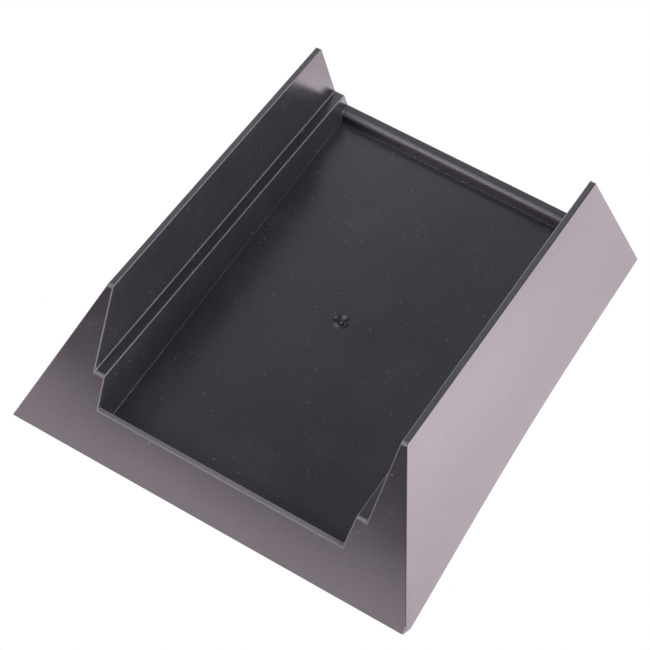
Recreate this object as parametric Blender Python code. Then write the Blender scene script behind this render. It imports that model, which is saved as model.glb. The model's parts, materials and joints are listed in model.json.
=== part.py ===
"""Small one-piece roller tray: a wedge-shaped moulded shell with a flat well between two tall flared walls.

The moulding is modelled panel by panel. Every panel is a block trimmed by the planes of the tray, so the
planes below are the whole design. Metres, +Z up, front of the tray towards -Y, origin under its centre.
"""

import bmesh
import bpy
from mathutils import Vector

MM = 0.001

# Driving dimensions of the whole tray
LENGTH = 186.5 * MM              # footprint, front edge to back edge
TOP_WIDTH = 120.0 * MM           # over the outsides of the two wall tops
TOP_HEIGHT = 64.0 * MM           # plane of the wall tops, above the front edge of the footprint
LEDGE_HEIGHT = 31.7 * MM         # plane of the two ledges, above the same edge
FALL = 0.0714                    # how much the wall tops and ledges drop towards the back, per length
FLOOR_HEIGHT = 5.6 * MM
LIP_HEIGHT = 17.8 * MM
RIM_HEIGHT = 10.7 * MM

# Slopes, as sideways run per height
FRONT_SLOPE = 0.534
BACK_SLOPE = 0.290
SIDE_FLARE = 0.3615
UPPER_DRAFT = 0.046
LOWER_DRAFT = 0.067
END_DRAFT = 0.109

# Widths seen from above
LEDGE_OUTSIDE = 56.2 * MM        # from the middle of the tray to the foot of the upper inner wall
LEDGE_INSIDE = 51.9 * MM         # from the middle of the tray to the edge of the ledge
LIP_WIDTH = 1.9 * MM
RIM_WIDTH = 4.7 * MM

# The sheet and the solid bars where two sheets join
SHEET = 1.9 * MM
WALL_BAR = 6.0 * MM
LIP_BAR = 6.0 * MM
RIM_BAR = 2.2 * MM
GAP = 0.3 * MM                   # between neighbouring panels

# Mark of the moulding gate, close to the middle of the floor
GATE_ASIDE = -1.3 * MM           # from the middle of the well, towards +X
GATE_BEHIND = 1.1 * MM           # from the middle of the well, towards the back
GATE_DIMPLE_RADIUS = 3.3 * MM
GATE_DIMPLE_DEPTH = 1.0 * MM
GATE_STUB_RADIUS = 1.0 * MM
GATE_STUB_HEIGHT = 0.7 * MM
GATE_SIDES = 32

BLOCK = 0.5                      # edge of the raw block that every panel is trimmed from
CHARCOAL = (0.046, 0.044, 0.050, 1.0)

FRONT_EDGE = -LENGTH / 2
BACK_EDGE = LENGTH / 2


class Plane:
    """A plane with the material behind it, on the side its normal points away from."""

    def __init__(self, point, normal):
        self.point = Vector(point)
        self.normal = Vector(normal).normalized()

    def moved(self, distance):
        return Plane(self.point + self.normal * distance, self.normal)

    def flipped(self):
        return Plane(self.point, -self.normal)

    def mirrored(self):
        point, normal = self.point, self.normal
        return Plane((-point.x, point.y, point.z), (-normal.x, normal.y, normal.z))


def level(height):
    return Plane((0, 0, height), (0, 0, 1))


def falling(height):
    """A plane that drops towards the back, at the given height over the front edge."""
    return Plane((0, FRONT_EDGE, height), (0, FALL, 1))


def side_plane(half_width, height, lean):
    """Right-hand plane through a line of the falling plane at that height; lean is the run per height."""
    return Plane((half_width, FRONT_EDGE, height), (1, lean * FALL, lean))


FRONT = Plane((0, FRONT_EDGE, 0), (0, -1, FRONT_SLOPE))
BACK = Plane((0, BACK_EDGE, 0), (0, 1, BACK_SLOPE))
TOP = falling(TOP_HEIGHT)
LEDGE = falling(LEDGE_HEIGHT)
TABLE = level(0).flipped()
OUTSIDE = side_plane(TOP_WIDTH / 2, TOP_HEIGHT, SIDE_FLARE)
UPPER_INSIDE = side_plane(LEDGE_OUTSIDE, LEDGE_HEIGHT, -UPPER_DRAFT)
LOWER_INSIDE = side_plane(LEDGE_INSIDE, LEDGE_HEIGHT, -LOWER_DRAFT)

LIP_FRONT = FRONT_EDGE + FRONT_SLOPE * LIP_HEIGHT
RIM_BACK = BACK_EDGE - BACK_SLOPE * RIM_HEIGHT
WELL_FRONT = Plane((0, LIP_FRONT + LIP_WIDTH, LIP_HEIGHT), (0, 1, END_DRAFT))
WELL_BACK = Plane((0, RIM_BACK - RIM_WIDTH, RIM_HEIGHT), (0, -1, END_DRAFT))

FLOOR_UNDERSIDE = FLOOR_HEIGHT - SHEET
WELL_MIDDLE = (LIP_FRONT + LIP_WIDTH + RIM_BACK - RIM_WIDTH) / 2


def collection(name):
    made = bpy.data.collections.new(name)
    bpy.context.scene.collection.children.link(made)
    return made


def cap_opening(mesh):
    """Close the one flat opening that a trim leaves in a convex block."""
    rim = [edge for edge in mesh.edges if edge.is_boundary]
    bmesh.ops.contextual_create(mesh, geom=rim)


def trimmed_block(name, planes, home):
    """A raw block cut back by each plane in turn, which leaves a convex panel."""
    mesh = bmesh.new()
    bmesh.ops.create_cube(mesh, size=BLOCK)
    for plane in planes:
        everything = mesh.verts[:] + mesh.edges[:] + mesh.faces[:]
        bmesh.ops.bisect_plane(
            mesh, geom=everything, dist=1e-7, plane_co=plane.point, plane_no=plane.normal, clear_outer=True
        )
        cap_opening(mesh)
    bmesh.ops.recalc_face_normals(mesh, faces=mesh.faces)
    return finished_object(name, mesh, home)


def finished_object(name, mesh, home):
    data = bpy.data.meshes.new(name)
    mesh.to_mesh(data)
    mesh.free()
    made = bpy.data.objects.new(name, data)
    home.objects.link(made)
    return made


def disc(name, radius, bottom, top, home):
    """An upright cylinder at the place of the moulding gate."""
    mesh = bmesh.new()
    bmesh.ops.create_cone(
        mesh, cap_ends=True, segments=GATE_SIDES, radius1=radius, radius2=radius, depth=top - bottom
    )
    bmesh.ops.translate(mesh, verts=mesh.verts, vec=(GATE_ASIDE, WELL_MIDDLE + GATE_BEHIND, (top + bottom) / 2))
    made = finished_object(name, mesh, home)
    made.data.shade_smooth()
    made.data.set_sharp_from_angle(angle=0.6)
    return made


def cut(target, cutter):
    modifier = target.modifiers.new("cut_" + cutter.name, "BOOLEAN")
    modifier.operation = "DIFFERENCE"
    modifier.solver = "EXACT"
    modifier.object = cutter


def as_cutter(made):
    made.hide_render = True
    made.display_type = "WIRE"
    return made


def paint(made):
    """Satin charcoal plastic, one material for each panel."""
    material = bpy.data.materials.new(made.name + "_plastic")
    material.use_nodes = True
    shader = material.node_tree.nodes["Principled BSDF"]
    shader.inputs["Base Color"].default_value = CHARCOAL
    shader.inputs["Roughness"].default_value = 0.42
    shader.inputs["Metallic"].default_value = 0.0
    made.data.materials.append(material)


def both_sides(name, planes, home):
    """The same panel on the right and, mirrored, on the left."""
    trimmed_block("right_" + name, planes, home)
    trimmed_block("left_" + name, [plane.mirrored() for plane in planes], home)


def between_lower_walls(gap):
    return [LOWER_INSIDE.moved(-gap), LOWER_INSIDE.mirrored().moved(-gap)]


def behind_apron_and_before_skirt():
    return [FRONT.moved(-SHEET - GAP), BACK.moved(-SHEET - GAP)]


def notch_cutters(name, bottom, home):
    """The stepped channel between the side walls, down to the given height."""
    upper = [UPPER_INSIDE, UPPER_INSIDE.mirrored(), LEDGE.flipped()]
    lower = between_lower_walls(0) + [level(bottom).flipped()]
    return [
        as_cutter(trimmed_block(name + "_upper", upper, home)),
        as_cutter(trimmed_block(name + "_lower", lower, home)),
    ]


def end_panel(name, face, bottom, parts, cutters):
    """A full-width end sheet with the stepped notch: the front apron or the rear skirt."""
    planes = [face, face.moved(-SHEET).flipped(), OUTSIDE, OUTSIDE.mirrored(), TOP, TABLE]
    panel = trimmed_block(name, planes, parts)
    for cutter in notch_cutters(name + "_notch", bottom, cutters):
        cut(panel, cutter)


def side_panels(parts):
    ends = behind_apron_and_before_skirt()
    bar_bottom = TOP.moved(-WALL_BAR)
    both_sides("wall_top", [OUTSIDE, UPPER_INSIDE.flipped(), TOP, bar_bottom.flipped()] + ends, parts)

    outer_sheet = [OUTSIDE, OUTSIDE.moved(-SHEET).flipped(), bar_bottom.moved(-GAP), TABLE]
    both_sides("outer_wall", outer_sheet + ends, parts)

    upper_sheet = [UPPER_INSIDE.flipped(), UPPER_INSIDE.moved(SHEET)]
    both_sides("inner_wall", upper_sheet + [bar_bottom.moved(-GAP), LEDGE.moved(GAP).flipped()] + ends, parts)

    step = [LOWER_INSIDE.flipped(), UPPER_INSIDE.moved(SHEET), LEDGE, LEDGE.moved(-SHEET).flipped()]
    both_sides("ledge", step + ends, parts)

    lower_sheet = [LOWER_INSIDE.flipped(), LOWER_INSIDE.moved(SHEET), LEDGE.moved(-SHEET - GAP)]
    both_sides("lower_wall", lower_sheet + [level(FLOOR_UNDERSIDE).flipped()] + ends, parts)


def front_panels(parts, cutters):
    bar_bottom = LIP_HEIGHT - LIP_BAR
    end_panel("front_apron", FRONT, bar_bottom - GAP, parts, cutters)
    walls = between_lower_walls(GAP)
    trimmed_block(
        "front_lip", [FRONT, WELL_FRONT, level(LIP_HEIGHT), level(bar_bottom).flipped()] + walls, parts
    )
    sheet = [WELL_FRONT, WELL_FRONT.moved(-SHEET).flipped(), level(bar_bottom - GAP)]
    trimmed_block("well_front_wall", sheet + [level(FLOOR_UNDERSIDE).flipped()] + walls, parts)


def rear_panels(parts, cutters):
    bar_bottom = RIM_HEIGHT - RIM_BAR
    end_panel("rear_skirt", BACK, bar_bottom - GAP, parts, cutters)
    walls = between_lower_walls(GAP)
    trimmed_block(
        "rear_rim", [BACK, WELL_BACK, level(RIM_HEIGHT), level(bar_bottom).flipped()] + walls, parts
    )
    sheet = [WELL_BACK, WELL_BACK.moved(-SHEET).flipped(), level(bar_bottom - GAP)]
    trimmed_block("well_rear_wall", sheet + [level(FLOOR_UNDERSIDE).flipped()] + walls, parts)


def floor_panel(parts, cutters):
    ends = [WELL_FRONT.moved(GAP).flipped(), WELL_BACK.moved(GAP).flipped()]
    slab = [level(FLOOR_HEIGHT), level(FLOOR_UNDERSIDE).flipped()]
    floor = trimmed_block("floor_pan", slab + ends + between_lower_walls(GAP), parts)

    dimple_bottom = FLOOR_HEIGHT - GATE_DIMPLE_DEPTH
    dimple = disc("gate_dimple", GATE_DIMPLE_RADIUS, dimple_bottom, FLOOR_HEIGHT + MM, cutters)
    cut(floor, as_cutter(dimple))
    stub_bottom = dimple_bottom + GAP
    disc("gate_stub", GATE_STUB_RADIUS, stub_bottom, stub_bottom + GATE_STUB_HEIGHT, parts)


def main():
    for leftover in list(bpy.data.objects):
        bpy.data.objects.remove(leftover)
    parts = collection("roller_tray")
    cutters = collection("cutters")
    side_panels(parts)
    front_panels(parts, cutters)
    rear_panels(parts, cutters)
    floor_panel(parts, cutters)
    for made in parts.objects:
        paint(made)


main()
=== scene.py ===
"""Looks of the small roller tray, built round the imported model: moulded panels in dusty charcoal plastic.

The outside of the tray is made once as a whole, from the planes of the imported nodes, so that its rounded
edges run on from panel to panel. It is then hollowed from below and divided into one visible piece for each
node. Metres, +Z up, front of the tray towards -Y.
"""

import json
import math

import bmesh
import bpy
from mathutils import Matrix, Vector

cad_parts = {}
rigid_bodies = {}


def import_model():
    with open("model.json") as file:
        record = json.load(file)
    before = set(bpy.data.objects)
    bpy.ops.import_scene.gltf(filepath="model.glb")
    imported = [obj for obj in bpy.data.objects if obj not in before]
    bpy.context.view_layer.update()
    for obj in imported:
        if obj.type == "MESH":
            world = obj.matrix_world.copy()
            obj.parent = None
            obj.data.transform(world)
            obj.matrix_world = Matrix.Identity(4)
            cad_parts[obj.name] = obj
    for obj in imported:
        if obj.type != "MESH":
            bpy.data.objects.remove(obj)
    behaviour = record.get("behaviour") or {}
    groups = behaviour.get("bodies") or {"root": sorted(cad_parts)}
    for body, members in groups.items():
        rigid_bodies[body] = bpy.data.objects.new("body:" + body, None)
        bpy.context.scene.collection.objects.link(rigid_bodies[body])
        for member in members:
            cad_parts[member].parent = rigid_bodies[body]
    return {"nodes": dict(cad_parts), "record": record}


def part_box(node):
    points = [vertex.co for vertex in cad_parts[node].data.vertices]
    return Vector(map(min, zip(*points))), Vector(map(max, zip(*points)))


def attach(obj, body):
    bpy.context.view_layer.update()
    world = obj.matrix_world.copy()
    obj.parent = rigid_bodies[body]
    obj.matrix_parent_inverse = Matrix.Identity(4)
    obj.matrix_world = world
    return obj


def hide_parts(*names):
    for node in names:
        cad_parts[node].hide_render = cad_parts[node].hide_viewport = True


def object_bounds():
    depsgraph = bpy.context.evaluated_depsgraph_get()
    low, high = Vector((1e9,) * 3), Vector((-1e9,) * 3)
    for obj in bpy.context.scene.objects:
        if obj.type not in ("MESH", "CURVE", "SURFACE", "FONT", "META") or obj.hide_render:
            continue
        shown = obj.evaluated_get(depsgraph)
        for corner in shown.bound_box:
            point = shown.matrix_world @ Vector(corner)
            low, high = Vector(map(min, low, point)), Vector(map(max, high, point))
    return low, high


MM = 0.001

BLOCK = 0.5                       # edge of the raw block that every solid is trimmed from
SAME_PLANE = 0.02 * MM
SAME_WAY, ROUGHLY_SAME_WAY = 0.999, 0.8    # least cosine between two directions
ON_THE_CUT = 0.0001 * MM
SAME_POINT = 0.001 * MM
FLAT_ANGLE = math.radians(0.05)
TINY = 1e-9                       # metres, keeps a share from being divided by zero
ROUND_SEGMENTS = 5
FACE_SLOT, EDGE_SLOT = 0, 1       # material slots of every piece, the second for the paler edges: partly rubbed wear, partly a painted highlight
UNHIGHLIGHTED_REACH = 0.6 * MM         # of the creases round the floor and the outer edges, which keep the face colour, without the paler edge colour and its painted highlight

# Radii of the rounded edges, by the two surfaces that meet; any other edge takes DEFAULT_ROUND
DEFAULT_ROUND = 0.4 * MM
ROUNDS = {
    ("front", "top"): 1.0 * MM,
    ("front", "ledge"): 1.0 * MM,
    ("front", "lip"): 0.5 * MM,
    ("lip", "well_front"): 0.35 * MM,
    ("front", "table"): 0.08 * MM,
    ("back", "table"): 0.08 * MM,
    ("outside", "table"): 0.08 * MM,
    ("front", "outside"): 0.4 * MM,
    ("back", "outside"): 0.4 * MM,
    ("back", "top"): 0.7 * MM,
    ("back", "ledge"): 0.7 * MM,
    ("back", "rim"): 0.35 * MM,
    ("rim", "well_back"): 1.6 * MM,
    ("top", "outside"): 0.35 * MM,
    ("top", "upper"): 0.35 * MM,
    ("floor", "lower"): 0.4 * MM,
    ("floor", "well_front"): 0.4 * MM,
    ("floor", "well_back"): 0.15 * MM,
    ("lower", "well_front"): 0.15 * MM,
    ("lower", "well_back"): 0.15 * MM,
    ("lower", "rim"): 0.15 * MM,
    ("lower", "lip"): 0.15 * MM,
}

# Where the visible pieces part, far enough from the rounded edges to run through flat surface
END_SEAM = 2.6 * MM               # behind the front and back faces
WALL_BAR_DEPTH = 6.0 * MM
LIP_BAR_DEPTH = 6.0 * MM
RIM_BAR_DEPTH = 2.4 * MM
CREASE_SEAM = 1.6 * MM            # out of an inner corner
EDGE_SEAM = 1.0 * MM              # in front of the inner faces of the lip and rim
LEDGE_UPSTAND = 1.2 * MM
LEDGE_DEPTH = 2.2 * MM
CAVITY_SPLIT = 0.3 * MM           # past the inner sheet, in the hollow between the two sheets

# Depth of the solid bars where two sheets join
WALL_SOLID = 5.5 * MM
LIP_SOLID = 5.0 * MM
RIM_SOLID = 2.0 * MM

SIDE_BOW = 1.5 * MM               # how far the foot of each side wall is drawn in at mid-length
BOW_CUTS = 24
BOW_ALONG, BOW_DOWN = 1.15, 1.5   # powers that shape the bow along the wall and down it

# The knocked-off corner at the front of the right foot, measured from the sharp corner
WORN_ALONG_FRONT = 1.1 * MM
WORN_ALONG_SIDE = 3.2 * MM
WORN_UP = 4.0 * MM

# Mark of the moulding gate
GATE_DIMPLE_RADIUS = 3.3 * MM
GATE_DIMPLE_DEPTH = 1.0 * MM
GATE_DIMPLE_LIP = 0.25 * MM       # radius of the rounded lip of the dimple
GATE_DIMPLE_OPEN = 1.0 * MM       # how far the cutter of the dimple stands out over the floor
GATE_STUB_TILT = 0.3              # rise of the broken top of the stub towards the back, per length
GATE_STUB_TAPER = 0.86            # radius at the top of the stub, as a share of the radius at its root
GATE_STUB_SHOULDER = 0.35         # radius of the rounded top edge, as the same share
SINK = 0.1 * MM                   # how deep the stub is rooted in the dimple
TURNED_STEPS = 48
CURVE_STEPS = 10

# Satin charcoal plastic
PLASTIC_IOR = 1.5
FACE_PALENESS = 0.62              # of the record's base colour, which takes in the dust
FACE_ROUGHNESS = 0.22
EDGE_SHEEN_AND_WEAR_PALENESS = 2.2               # of the rounded edges and the lip top: partly rubbed wear, partly a painted highlight of their bright lines
EDGE_ROUGHNESS = 0.36
CLOUD_SIZE = 35 * MM
CLOUD_TONE, CLOUD_ROUGHNESS = 0.14, 0.05      # how far the clouds carry the tone, as a share, and roughness
CLOUD_RANGE = (0.2, 0.8)
WIPED_SIZE = 18 * MM
WIPED_RANGE = (0.55, 0.85)
HAZE = 0.06                       # dirt in the middle of a wiped patch
DIRT_ROUGHNESS = 0.35
MARK_SPREAD = 1.15                # radius at which a mark has faded away, as a share of its own
GRAIN_SIZE, GRAIN_HEIGHT = 0.7 * MM, 0.004 * MM
WAVE_SIZE, WAVE_HEIGHT = 60 * MM, 0.25 * MM
DUST_COLOUR = (0.16, 0.155, 0.165, 1.0)
DUST_HEIGHT = 0.02 * MM
STREAK_DEPTH = 0.008 * MM
DRAWN_SIZE = (1.3 * MM, 1.3 * MM, 26 * MM)    # lumps of the faint drawn-down texture
DRAWN_ROUGHNESS = 0.10
DRAWN_HEIGHT = 0.004 * MM
# Cell size, radius of a mark as a share of its cell, and share of the cells that have one
DUST_LAYERS = (
    ((6.0 * MM, 6.0 * MM, 6.0 * MM), 0.07, 0.8),
    ((2.4 * MM, 2.4 * MM, 2.4 * MM), 0.09, 0.4),
)
STREAK_LAYER = ((1.6 * MM, 1.6 * MM, 7.0 * MM), 0.14, 0.22)
# Turns that lay the long axis of the streaks along the panel
STREAK_TURNS = {
    "upright": ((math.radians(12), math.radians(-8), 0.0),),
    "level": ((math.radians(90), 0.0, math.radians(25)), (math.radians(90), 0.0, math.radians(-50))),
}
LEVEL_PANELS = ("floor_pan", "gate_stub", "rear_rim", "left_ledge", "right_ledge")
SHARP_ANGLE = math.radians(32)

# Luminous table, dim room and softboxes, in radiance
TABLE_SIZE = 8.0
TABLE_GAP = 0.05 * MM
TABLE_FADE = 0.29                 # from the front of the tray to where the table goes dim
TABLE_GLOW, TABLE_DIM = 3.4, 0.03
# Shares by which the glow is more or less near the tray. ASIDE is counted from the middle in half widths of
# the tray, and BEHIND and BEFORE in half depths
SIDE_GLOW = 0.45                  # more, well to the side of the front half
SIDE_REACH = 75 * MM
SIDE_GLOW_BEHIND = 1.3            # where it starts, to be whole beside the middle
BACK_SHADE = 0.38                 # less, close behind the tray
BACK_SHADE_ASIDE = (0.7, 1.0)     # where it fades out
BACK_SHADE_BEHIND = (0.9, 1.2)    # where it comes in
FOOT_SHADE = 0.08                 # less, at the foot of the side walls
FOOT_REACH = 35 * MM
FRONT_GLOW = 0.15                 # more, close before the tray
FRONT_GLOW_BEFORE = (0.9, 1.1)    # where it comes in
TABLE_SEEN_COLOUR = (1.0, 1.0, 1.0, 1.0)
TABLE_LIGHT_COLOUR = (1.0, 0.86, 0.94, 1.0)
SKY_OVERHEAD, SKY_BEHIND, SKY_DIM = 0.15, 1.8, 0.02
SKY_RISE = (-0.1, 0.9)            # upward shares of the direction between which it brightens
SKY_TURN = 0.6                    # turns the part behind the tray towards the left
SKY_BACK = (0.41, 1.11)           # shares towards the back left between which it brightens
SKY_COLOUR = (0.90, 0.92, 1.0, 1.0)
# Direction from the tray, distance, width and height, radiance and colour
SOFTBOXES = {
    "wide_softbox": ((-0.2, -0.46, 0.86), 1.2, (0.7, 1.15), 2.0, (1.0, 0.87, 0.94)),
    "key_softbox": ((-0.25, -0.65, 0.72), 1.2, (0.3, 0.3), 13.0, (1.0, 0.90, 0.95)),
    "side_softbox": ((0.85, 0.1, 0.5), 1.2, (0.7, 0.7), 14.0, (0.90, 0.94, 1.0)),
}

# The camera
CAMERA_AZIMUTH = math.radians(28.81)
CAMERA_ELEVATION = math.radians(56.38)
CAMERA_ROLL = math.radians(3.19)
CAMERA_AIM = (-0.00115, -0.01001, 0.02)
CAMERA_DISTANCE = 0.7905
LENS, SENSOR_WIDTH = 119.75, 36.0             # millimetres

for leftover in list(bpy.data.objects):
    bpy.data.objects.remove(leftover)
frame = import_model()
CAD_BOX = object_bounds()


class Plane:
    """A plane with the material behind it, on the side its normal points away from."""

    def __init__(self, point, normal):
        self.point = Vector(point)
        self.normal = Vector(normal).normalized()

    def moved(self, distance):
        return Plane(self.point + self.normal * distance, self.normal)

    def flipped(self):
        return Plane(self.point, -self.normal)

    def height_over(self, point):
        return (point - self.point).dot(self.normal)


def node_plane(node, towards):
    """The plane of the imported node's widest face that looks in the given direction."""
    towards = Vector(towards).normalized()
    faces = frame["nodes"][node].data.polygons
    facing = [face for face in faces if face.normal.dot(towards) > ROUGHLY_SAME_WAY]
    widest = max(facing, key=lambda face: face.area)
    return Plane(widest.center, widest.normal)


LOW, HIGH = CAD_BOX
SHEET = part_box("floor_pan")[1].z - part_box("floor_pan")[0].z
SIDES = {"left": -1, "right": 1}

SURFACES = {
    "table": [Plane((0, 0, LOW.z), (0, 0, -1))],
    "front": [node_plane("front_apron", (0, -1, 0))],
    "back": [node_plane("rear_skirt", (0, 1, 0))],
    "top": [node_plane("right_wall_top", (0, 0, 1))],
    "ledge": [node_plane("right_ledge", (0, 0, 1))],
    "lip": [node_plane("front_lip", (0, 0, 1))],
    "rim": [node_plane("rear_rim", (0, 0, 1))],
    "floor": [node_plane("floor_pan", (0, 0, 1))],
    "well_front": [node_plane("front_lip", (0, 1, 0))],
    "well_back": [node_plane("rear_rim", (0, -1, 0))],
    "outside": [node_plane(side + "_outer_wall", (sign, 0, 0)) for side, sign in SIDES.items()],
    "upper": [node_plane(side + "_inner_wall", (-sign, 0, 0)) for side, sign in SIDES.items()],
    "lower": [node_plane(side + "_lower_wall", (-sign, 0, 0)) for side, sign in SIDES.items()],
}


def one(name):
    return SURFACES[name][0]


def flipped(planes):
    return [plane.flipped() for plane in planes]


def moved(planes, distance):
    return [plane.moved(distance) for plane in planes]


# ---------------------------------------------------------------- solids

def linked(name, mesh):
    data = bpy.data.meshes.new(name)
    mesh.to_mesh(data)
    mesh.free()
    made = bpy.data.objects.new(name, data)
    bpy.context.scene.collection.objects.link(made)
    return made


def slice_mesh(mesh, point, normal, clear_outer=False):
    everything = mesh.verts[:] + mesh.edges[:] + mesh.faces[:]
    bmesh.ops.bisect_plane(
        mesh, geom=everything, dist=ON_THE_CUT, plane_co=point, plane_no=normal, clear_outer=clear_outer
    )


def trimmed_block(name, planes):
    """A raw block cut back by each plane in turn, which leaves a convex solid."""
    mesh = bmesh.new()
    bmesh.ops.create_cube(mesh, size=BLOCK)
    for plane in planes:
        slice_mesh(mesh, plane.point, plane.normal, clear_outer=True)
        bmesh.ops.contextual_create(mesh, geom=[edge for edge in mesh.edges if edge.is_boundary])
    bmesh.ops.recalc_face_normals(mesh, faces=mesh.faces)
    return linked(name, mesh)


def settle(piece):
    """Turn a piece's modifiers into its mesh."""
    graph = bpy.context.evaluated_depsgraph_get()
    data = bpy.data.meshes.new_from_object(piece.evaluated_get(graph))
    old = piece.data
    piece.modifiers.clear()
    piece.data = data
    bpy.data.meshes.remove(old)


def combine(piece, other, operation):
    """Cut, keep or join one solid with another, which is used up."""
    modifier = piece.modifiers.new("combine", "BOOLEAN")
    modifier.operation = operation
    modifier.solver = "EXACT"
    modifier.object = other
    settle(piece)
    bpy.data.objects.remove(other)


def cut(piece, planes):
    combine(piece, trimmed_block("cutter", planes), "DIFFERENCE")


def channelled_block(name, inset, wall_bar=0.0, lip_bar=0.0, rim_bar=0.0):
    """The tray as a solid with sharp edges, its surfaces drawn in by the inset and its tops by their bars."""
    ends = [one("front").moved(-inset), one("back").moved(-inset), one("top").moved(-wall_bar)]
    block = trimmed_block(name, moved(SURFACES["outside"], -inset) + ends)
    channel = trimmed_block("channel", flipped(moved(SURFACES["lower"] + [one("floor")], -inset)))
    cut(channel, [one("well_front").moved(-inset), one("lip").moved(-lip_bar)])
    cut(channel, [one("well_back").moved(-inset), one("rim").moved(-rim_bar)])
    combine(block, channel, "DIFFERENCE")
    cut(block, flipped(moved(SURFACES["upper"] + [one("ledge")], -inset)))
    return block


def crossing(planes):
    """The point where three planes cross."""
    rows = Matrix([plane.normal for plane in planes])
    return rows.inverted() @ Vector([plane.normal.dot(plane.point) for plane in planes])


def worn_corner():
    """Plane of the knocked-off corner at the front of the right foot."""
    side = SURFACES["outside"][1]
    corner = crossing([one("front"), side, one("table")])
    upwards = crossing([one("front"), side, one("top")]) - corner
    on_front = corner - Vector((WORN_ALONG_FRONT, 0, 0))
    on_side = corner + Vector((0, WORN_ALONG_SIDE, 0))
    on_edge = corner + upwards.normalized() * WORN_UP
    return Plane(on_edge, (on_front - on_edge).cross(on_side - on_edge))


def whole_outside():
    """The tray as a solid that stands on the table, with every outer surface in place."""
    body = channelled_block("whole", 0.0)
    cut(body, [one("table").flipped()])
    cut(body, [worn_corner().flipped()])
    mesh = bmesh.new()
    mesh.from_mesh(body.data)
    bmesh.ops.remove_doubles(mesh, verts=mesh.verts, dist=SAME_POINT)
    bmesh.ops.dissolve_limit(mesh, angle_limit=FLAT_ANGLE, verts=mesh.verts, edges=mesh.edges)
    mesh.to_mesh(body.data)
    mesh.free()
    return body


def hollow(body):
    """Take out the open underside, which leaves a sheet of even thickness."""
    inside = channelled_block("inside", SHEET, WALL_SOLID, LIP_SOLID, RIM_SOLID)
    combine(body, inside, "DIFFERENCE")


def surface_of(face):
    """Name of the tray surface that a flat face lies on."""
    for name, planes in SURFACES.items():
        for plane in planes:
            near = abs(plane.height_over(face.calc_center_median())) < SAME_PLANE
            if near and face.normal.dot(plane.normal) > SAME_WAY:
                return name
    return "other"


def round_of(edge):
    names = tuple(surface_of(face) for face in edge.link_faces)
    return ROUNDS.get(names, ROUNDS.get(names[::-1], DEFAULT_ROUND))


def stays_dark(face):
    """Whether a face lies in the crease round the floor or along an outer edge, which keeps the face colour
    without the painted edge highlight.
    """
    in_floor_crease = 0 < one("floor").height_over(face.center) < UNHIGHLIGHTED_REACH
    heights = [abs(plane.height_over(face.center)) for plane in SURFACES["outside"]]
    return in_floor_crease or min(heights) < UNHIGHLIGHTED_REACH


def round_edges(body):
    """Round every edge, and give the rounded edges and the top of the lip the slot of the paler plastic,
    which is partly rubbed wear and partly a painted highlight.
    """
    for slot_name in ("face", "edge"):
        body.data.materials.append(bpy.data.materials.new(slot_name))
    widest = max(ROUNDS.values())
    mesh = bmesh.new()
    mesh.from_mesh(body.data)
    weights = mesh.edges.layers.float.new("bevel_weight_edge")
    for edge in mesh.edges:
        edge[weights] = round_of(edge) / widest
    # the top of the lip is painted paler: partly wear, partly a painted highlight of its bright strip
    for face in mesh.faces:
        if surface_of(face) == "lip":
            face.material_index = EDGE_SLOT
    mesh.to_mesh(body.data)
    mesh.free()
    bevel = body.modifiers.new("round", "BEVEL")
    bevel.limit_method = "WEIGHT"
    bevel.width = widest
    bevel.segments = ROUND_SEGMENTS
    bevel.profile = 0.5
    bevel.use_clamp_overlap = False
    # the rounded edges take the paler plastic: rubbed wear plus a painted highlight
    bevel.material = EDGE_SLOT
    settle(body)
    for face in body.data.polygons:
        # creases and outer edges go back to the face colour, without the painted edge highlight
        if stays_dark(face):
            face.material_index = FACE_SLOT


# ---------------------------------------------------------------- pieces

def between_creases():
    return flipped(moved(SURFACES["lower"], CREASE_SEAM))


def behind_ends():
    return [one("front").moved(-END_SEAM), one("back").moved(-END_SEAM)]


def side_regions(index, side):
    """Regions of the five panels of one side wall, by the names of their nodes."""
    upper, lower = SURFACES["upper"][index], SURFACES["lower"][index]
    side_only = behind_ends() + [lower.moved(CREASE_SEAM)]
    split = upper.moved(-SHEET - CAVITY_SPLIT)
    bar = one("top").moved(-WALL_BAR_DEPTH)
    upstand = one("ledge").moved(LEDGE_UPSTAND)
    ledge_bottom = one("ledge").moved(-LEDGE_DEPTH)
    return {
        side + "_wall_top": side_only + [bar.flipped()],
        side + "_outer_wall": side_only + [bar, split],
        side + "_inner_wall": side_only + [bar, split.flipped(), upstand.flipped()],
        side + "_ledge": side_only + [split.flipped(), upstand, ledge_bottom.flipped()],
        side + "_lower_wall": side_only + [split.flipped(), ledge_bottom],
    }


def centre_regions():
    """Regions of the panels between the side walls, by the names of their nodes."""
    centre = between_creases()
    lip_bottom, rim_bottom = one("lip").moved(-LIP_BAR_DEPTH), one("rim").moved(-RIM_BAR_DEPTH)
    well_front, well_back = one("well_front"), one("well_back")
    foot_front, foot_back = well_front.moved(CREASE_SEAM), well_back.moved(CREASE_SEAM)
    return {
        "front_lip": centre + [well_front.moved(EDGE_SEAM), lip_bottom.flipped()],
        "rear_rim": centre + [well_back.moved(EDGE_SEAM), rim_bottom.flipped()],
        "well_front_wall": centre + behind_ends() + [lip_bottom, foot_front],
        "well_rear_wall": centre + behind_ends() + [rim_bottom, foot_back],
        "floor_pan": centre + flipped([foot_front, foot_back]),
    }


def copy_of(body, name):
    made = bpy.data.objects.new(name, body.data.copy())
    bpy.context.scene.collection.objects.link(made)
    return made


def piece_within(body, name, region):
    """The part of the shell inside a region, as a piece of its own."""
    piece = copy_of(body, name)
    combine(piece, trimmed_block("region", region), "INTERSECT")
    return piece


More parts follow.
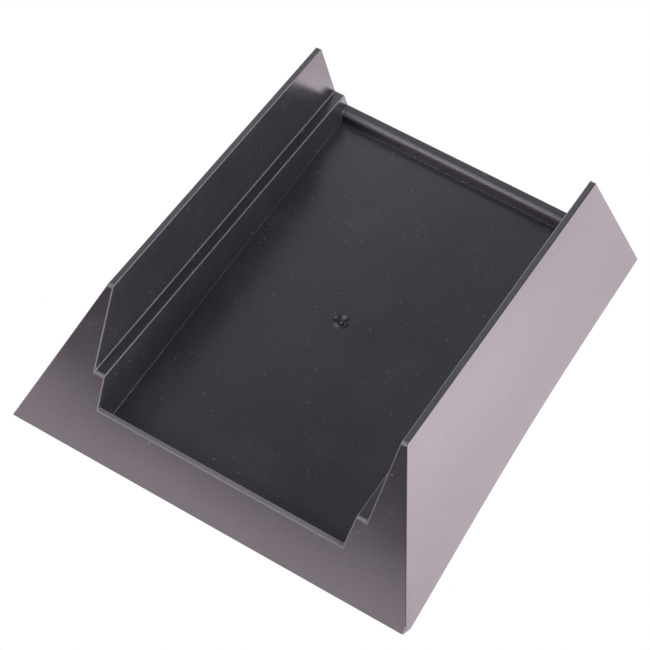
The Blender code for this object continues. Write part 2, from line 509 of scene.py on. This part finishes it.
def divide(body):
    """One piece for each node of the shell, by node name."""
    regions = centre_regions()
    for index, side in enumerate(SIDES):
        regions.update(side_regions(index, side))
    pieces = {node: piece_within(body, node + "_skin", region) for node, region in regions.items()}
    for node, face, bar in (("front_apron", "front", "front_lip"), ("rear_skirt", "back", "rear_rim")):
        pieces[node] = piece_within(body, node + "_skin", [one(face).moved(-END_SEAM).flipped()])
        cut(pieces[node], regions[bar])
    bpy.data.objects.remove(body)
    return pieces


def bow_foot(piece, sign):
    """Draw the foot of a side wall in at mid-length, as a moulded wall that is free at the bottom does."""
    bar = one("top").moved(-WALL_BAR_DEPTH)
    front, back = behind_ends()
    low, high = Vector(piece.bound_box[0]), Vector(piece.bound_box[6])
    mesh = bmesh.new()
    mesh.from_mesh(piece.data)
    for step in range(1, BOW_CUTS):
        across = low.lerp(high, step / BOW_CUTS)
        for normal in ((0, 1, 0), (0, 0, 1)):
            slice_mesh(mesh, across, normal)
    for vert in mesh.verts:
        from_front, from_back = -front.height_over(vert.co), -back.height_over(vert.co)
        along = min(max(from_front / (from_front + from_back), 0.0), 1.0)
        depth = max(-bar.height_over(vert.co), 0.0)
        down = depth / (depth + max(vert.co.z - LOW.z, 0.0) + TINY)
        vert.co.x -= sign * SIDE_BOW * math.sin(math.pi * along) ** BOW_ALONG * down ** BOW_DOWN
    mesh.to_mesh(piece.data)
    mesh.free()


# ---------------------------------------------------------------- gate mark

def turned(name, profile, centre):
    """A closed solid of revolution round a vertical axis, from points of radius and height."""
    mesh = bmesh.new()
    rings = []
    for radius, height in profile:
        steps = TURNED_STEPS if radius > 0 else 1
        turns = [2 * math.pi * step / steps for step in range(steps)]
        places = [Vector((radius * math.cos(turn), radius * math.sin(turn), height)) for turn in turns]
        rings.append([mesh.verts.new(centre + place) for place in places])
    for lower, upper in zip(rings, rings[1:]):
        for step in range(TURNED_STEPS):
            corners = [ring[index % len(ring)] for ring in (lower, upper) for index in (step, step + 1)]
            order = [corners[0], corners[1], corners[3], corners[2]]
            mesh.faces.new(list(dict.fromkeys(order)))
    bmesh.ops.recalc_face_normals(mesh, faces=mesh.faces)
    return linked(name, mesh)


def dimple_profile():
    """Half section of the dimple: a bowl whose lip rolls over into the floor."""
    whole_radius = (GATE_DIMPLE_RADIUS ** 2 + GATE_DIMPLE_DEPTH ** 2) / (2 * GATE_DIMPLE_DEPTH)
    bowl_radius = whole_radius - GATE_DIMPLE_LIP
    steepest = math.asin(GATE_DIMPLE_RADIUS / whole_radius)
    slopes = [steepest * step / CURVE_STEPS for step in range(CURVE_STEPS + 1)]
    bowl = [
        (bowl_radius * math.sin(slope), bowl_radius * (1 - math.cos(slope)) - GATE_DIMPLE_DEPTH)
        for slope in slopes
    ]
    lip = [
        (GATE_DIMPLE_RADIUS - GATE_DIMPLE_LIP * math.sin(slope), GATE_DIMPLE_LIP * (math.cos(slope) - 1))
        for slope in slopes[-2::-1]
    ]
    return bowl + lip + [(GATE_DIMPLE_RADIUS, GATE_DIMPLE_OPEN), (0, GATE_DIMPLE_OPEN)]


def stub_profile(radius, height):
    """Half section of the broken gate: a tapered peg with a rounded shoulder."""
    shoulder, top_radius = radius * GATE_STUB_SHOULDER, radius * GATE_STUB_TAPER
    peg = [(0, 0), (radius, 0), (top_radius, height - shoulder)]
    turns = [math.pi / 2 * step / CURVE_STEPS for step in range(1, CURVE_STEPS + 1)]
    arc = [
        (top_radius - shoulder * (1 - math.cos(turn)), height - shoulder * (1 - math.sin(turn)))
        for turn in turns
    ]
    return peg + arc + [(0, height)]


def gate_centre():
    low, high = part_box("gate_stub")
    return Vector(((low.x + high.x) / 2, (low.y + high.y) / 2, one("floor").point.z))


def gate_stub():
    low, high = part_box("gate_stub")
    bottom = gate_centre() - Vector((0, 0, GATE_DIMPLE_DEPTH + SINK))
    radius, height = (high.x - low.x) / 2, high.z - bottom.z
    stub = turned("gate_stub_skin", stub_profile(radius, height), bottom)
    for vert in stub.data.vertices:
        share = (vert.co.z - bottom.z) / height
        vert.co.z += share * GATE_STUB_TILT * (vert.co.y - bottom.y)
    return stub


# ---------------------------------------------------------------- plastic

class Tree:
    """Short ways to add nodes to a node tree."""

    def __init__(self, owner):
        owner.use_nodes = True
        self.tree = owner.node_tree

    def add(self, kind, inputs, **settings):
        node = self.tree.nodes.new(kind)
        for name, value in settings.items():
            setattr(node, name, value)
        for name, value in inputs.items():
            if isinstance(value, bpy.types.NodeSocket):
                self.tree.links.new(value, node.inputs[name])
            else:
                node.inputs[name].default_value = value
        return node

    def math(self, operation, first, second):
        return self.add("ShaderNodeMath", {0: first, 1: second}, operation=operation).outputs[0]

    def sum(self, *values):
        total = values[0]
        for value in values[1:]:
            total = self.math("ADD", total, value)
        return total

    def noise(self, place, size, detail):
        """Smooth noise from 0 to 1 whose lumps are about the given size across."""
        inputs = {"Vector": place, "Scale": 1 / size, "Detail": detail}
        return self.add("ShaderNodeTexNoise", inputs).outputs["Fac"]

    def ramp(self, value, start, end, low=0.0, high=1.0):
        """The value carried smoothly from low at the start to high at the end."""
        inputs = {"Value": value, "From Min": start, "From Max": end, "To Min": low, "To Max": high}
        return self.add("ShaderNodeMapRange", inputs, interpolation_type="SMOOTHSTEP").outputs["Result"]

    def stretched(self, place, cell, turn):
        """The place counted in cells of the given size, turned."""
        inputs = {"Vector": place, "Rotation": turn, "Scale": cell}
        return self.add("ShaderNodeMapping", inputs, vector_type="TEXTURE").outputs["Vector"]

    def marks(self, place, cell, core, share, turn=(0.0, 0.0, 0.0)):
        """Scattered blobs, one in each cell of the given size that is picked, core of a cell in radius."""
        cells = self.stretched(place, cell, turn)
        blobs = self.add("ShaderNodeTexVoronoi", {"Vector": cells, "Scale": 1.0})
        inside = self.ramp(blobs.outputs["Distance"], core * MARK_SPREAD, 0.0)
        channels = self.add("ShaderNodeSeparateColor", {"Color": blobs.outputs["Color"]}).outputs
        picked = self.math("LESS_THAN", channels["Red"], share)
        strength = self.math("MULTIPLY", picked, channels["Green"])
        return self.math("MULTIPLY", inside, strength)


def plastic(name, tone, paleness, roughness, streak_turns):
    """Satin charcoal plastic: cloudy tone, moulding grain, dust, streaks and wiped patches."""
    material = bpy.data.materials.new(name)
    tree = Tree(material)
    place = tree.add("ShaderNodeTexCoord", {}).outputs["Object"]
    cloud = tree.noise(place, CLOUD_SIZE, 3.0)
    grain = tree.noise(place, GRAIN_SIZE, 2.0)
    wave = tree.noise(place, WAVE_SIZE, 0.0)
    wiped = tree.noise(place, WIPED_SIZE, 4.0)

    drawn = tree.noise(tree.stretched(place, DRAWN_SIZE, streak_turns[0]), 1.0, 2.0)
    dust = tree.sum(*[tree.marks(place, *layer) for layer in DUST_LAYERS])
    streaks = tree.sum(*[tree.marks(place, *STREAK_LAYER, turn) for turn in streak_turns])
    haze = tree.ramp(wiped, *WIPED_RANGE, 0.0, HAZE)
    dirt = tree.math("MINIMUM", tree.sum(dust, streaks, haze), 1.0)

    dark = [channel * paleness * (1 - CLOUD_TONE) for channel in tone] + [1.0]
    light = [channel * paleness * (1 + CLOUD_TONE) for channel in tone] + [1.0]
    clean = tree.add("ShaderNodeMix", {0: cloud, 6: dark, 7: light}, data_type="RGBA").outputs[2]
    colour = tree.add("ShaderNodeMix", {0: dirt, 6: clean, 7: DUST_COLOUR}, data_type="RGBA").outputs[2]
    uneven = tree.ramp(cloud, *CLOUD_RANGE, roughness - CLOUD_ROUGHNESS, roughness + CLOUD_ROUGHNESS)
    drawn_about_nought = tree.math("SUBTRACT", drawn, 0.5)
    rough = tree.sum(
        uneven,
        tree.math("MULTIPLY", dirt, DIRT_ROUGHNESS),
        tree.math("MULTIPLY", drawn_about_nought, DRAWN_ROUGHNESS),
    )

    heights = [
        tree.math("MULTIPLY", grain, GRAIN_HEIGHT),
        tree.math("MULTIPLY", wave, WAVE_HEIGHT),
        tree.math("MULTIPLY", drawn, DRAWN_HEIGHT),
        tree.math("MULTIPLY", dust, DUST_HEIGHT),
        tree.math("MULTIPLY", streaks, -STREAK_DEPTH),
    ]
    bump = tree.add("ShaderNodeBump", {"Height": tree.sum(*heights), "Distance": 1.0, "Strength": 1.0})
    shader = tree.tree.nodes["Principled BSDF"]
    tree.tree.links.new(colour, shader.inputs["Base Color"])
    tree.tree.links.new(rough, shader.inputs["Roughness"])
    tree.tree.links.new(bump.outputs["Normal"], shader.inputs["Normal"])
    shader.inputs["IOR"].default_value = PLASTIC_IOR
    return material


def plastics():
    """Face and edge plastic by material slot of the record and by the way the panel lies."""
    made = {}
    for row in frame["record"]["materials"]:
        for lie, turns in STREAK_TURNS.items():
            name = row["slot"] + "_" + lie
            face = plastic(name, row["base_color"], FACE_PALENESS, FACE_ROUGHNESS, turns)
            # paler copy for the edges and lip top: partly rubbed wear, partly a painted highlight
            edge = plastic(name + "_edge", row["base_color"], EDGE_SHEEN_AND_WEAR_PALENESS, EDGE_ROUGHNESS, turns)
            made[row["slot"], lie] = (face, edge)
    return made


def dress(piece, node, slot, materials):
    """Give a piece its plastic, its shading, and its place in the frame."""
    slots = piece.data.materials
    while len(slots) <= EDGE_SLOT:
        slots.append(None)
    lie = "level" if node in LEVEL_PANELS else "upright"
    slots[FACE_SLOT], slots[EDGE_SLOT] = materials[slot, lie]
    piece.data.shade_smooth()
    piece.data.set_sharp_from_angle(angle=SHARP_ANGLE)
    weighted = piece.modifiers.new("weighted", "WEIGHTED_NORMAL")
    weighted.keep_sharp = True
    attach(piece, "root")
    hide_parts(node)


# ---------------------------------------------------------------- studio

def sheet(name, size, height):
    mesh = bmesh.new()
    bmesh.ops.create_grid(mesh, x_segments=1, y_segments=1, size=size / 2)
    bmesh.ops.translate(mesh, verts=mesh.verts, vec=(0, 0, height))
    made = linked(name, mesh)
    return made


def glow(name, colour):
    """An even luminous material, and its tree and strength socket."""
    material = bpy.data.materials.new(name)
    tree = Tree(material)
    tree.tree.nodes.clear()
    light = tree.add("ShaderNodeEmission", {"Color": colour, "Strength": 1.0})
    tree.add("ShaderNodeOutputMaterial", {"Surface": light.outputs["Emission"]})
    return material, tree, light.inputs["Strength"]


def table_strength(tree):
    """How strongly each place of the lighting table glows."""
    place = tree.add("ShaderNodeTexCoord", {}).outputs["Object"]
    axes = tree.add("ShaderNodeSeparateXYZ", {"Vector": place}).outputs
    along, aside = axes["Y"], tree.math("ABSOLUTE", axes["X"], 0.0)
    front, back, edge = LOW.y, HIGH.y, HIGH.x
    fading = tree.ramp(along, front - TABLE_FADE, front, TABLE_DIM, TABLE_GLOW)

    out_to_side = tree.ramp(aside, edge, edge + SIDE_REACH)
    in_front_half = tree.ramp(along, back * SIDE_GLOW_BEHIND, 0.0, 0.0, SIDE_GLOW)
    side_glow = tree.math("MULTIPLY", out_to_side, in_front_half)
    in_the_middle = tree.ramp(aside, *[edge * share for share in BACK_SHADE_ASIDE], 1.0, 0.0)
    behind = tree.ramp(along, *[back * share for share in BACK_SHADE_BEHIND], 0.0, -BACK_SHADE)
    back_shade = tree.math("MULTIPLY", in_the_middle, behind)
    foot_shade = tree.ramp(aside, edge, edge + FOOT_REACH, -FOOT_SHADE, 0.0)
    front_glow = tree.ramp(along, *[front * share for share in FRONT_GLOW_BEFORE], 0.0, FRONT_GLOW)
    boost = tree.sum(side_glow, back_shade, foot_shade, front_glow, 1.0)
    return tree.math("MULTIPLY", fading, boost)


def table():
    """A pale luminous table. The camera sees it even; what it lights and mirrors dims towards the front."""
    height = LOW.z - TABLE_GAP
    seen = sheet("table_seen", TABLE_SIZE, height)
    seen.data.materials.append(glow("table_pale", TABLE_SEEN_COLOUR)[0])
    seen.visible_diffuse = seen.visible_glossy = seen.visible_transmission = False

    lighting = sheet("table_light", TABLE_SIZE, height)
    material, tree, strength = glow("table_glow", TABLE_LIGHT_COLOUR)
    tree.tree.links.new(table_strength(tree), strength)
    lighting.data.materials.append(material)
    lighting.visible_camera = False


def sky():
    """A dim room, bright behind the tray to the left, that the glossy plastic mirrors."""
    world = bpy.data.worlds.new("studio")
    bpy.context.scene.world = world
    tree = Tree(world)
    tree.tree.nodes.clear()
    towards = tree.add("ShaderNodeTexCoord", {}).outputs["Generated"]
    axes = tree.add("ShaderNodeSeparateXYZ", {"Vector": towards}).outputs
    overhead = tree.ramp(axes["Z"], *SKY_RISE, SKY_DIM, SKY_OVERHEAD)
    back_left = tree.math("SUBTRACT", axes["Y"], tree.math("MULTIPLY", axes["X"], SKY_TURN))
    behind = tree.ramp(back_left, *SKY_BACK, 0.0, SKY_BEHIND)
    strength = tree.math("ADD", overhead, behind)
    light = tree.add("ShaderNodeBackground", {"Color": SKY_COLOUR, "Strength": strength})
    tree.add("ShaderNodeOutputWorld", {"Surface": light.outputs["Background"]})


def softbox(name, away, distance, size, radiance, colour):
    """A flat light that faces the tray, from the direction away."""
    data = bpy.data.lights.new(name, "AREA")
    data.shape = "RECTANGLE"
    data.size, data.size_y = size
    data.color = colour
    data.energy = radiance * math.pi * data.size * data.size_y
    made = bpy.data.objects.new(name, data)
    bpy.context.scene.collection.objects.link(made)
    made.location = Vector(away).normalized() * distance
    made.rotation_euler = Vector(away).to_track_quat("Z", "Y").to_euler()
    made.visible_camera = False


def camera():
    """A long lens that looks down on the tray from the front right, and is rolled a little."""
    data = bpy.data.cameras.new("camera")
    data.sensor_width = SENSOR_WIDTH
    data.lens = LENS
    made = bpy.data.objects.new("camera", data)
    bpy.context.scene.collection.objects.link(made)
    bpy.context.scene.camera = made
    turn = Matrix.Rotation(CAMERA_AZIMUTH, 4, "Z")
    tip = Matrix.Rotation(math.pi / 2 - CAMERA_ELEVATION, 4, "X")
    roll = Matrix.Rotation(CAMERA_ROLL, 4, "Z")
    back_off = Matrix.Translation((0, 0, CAMERA_DISTANCE))
    made.matrix_world = Matrix.Translation(CAMERA_AIM) @ turn @ tip @ roll @ back_off


# ---------------------------------------------------------------- the tray in its studio

def main():
    body = whole_outside()
    round_edges(body)
    hollow(body)
    pieces = divide(body)
    combine(pieces["floor_pan"], turned("dimple", dimple_profile(), gate_centre()), "DIFFERENCE")
    pieces["gate_stub"] = gate_stub()
    for side, sign in SIDES.items():
        bow_foot(pieces[side + "_outer_wall"], sign)

    materials = plastics()
    slots = {row["node"]: row["material_slot"] for row in frame["record"]["subparts"]}
    for node, piece in pieces.items():
        dress(piece, node, slots[node], materials)

    table()
    sky()
    for name, placing in SOFTBOXES.items():
        softbox(name, *placing)
    camera()
    bpy.context.scene.view_settings.view_transform = "Standard"
    bpy.context.scene.view_settings.look = "None"


main()
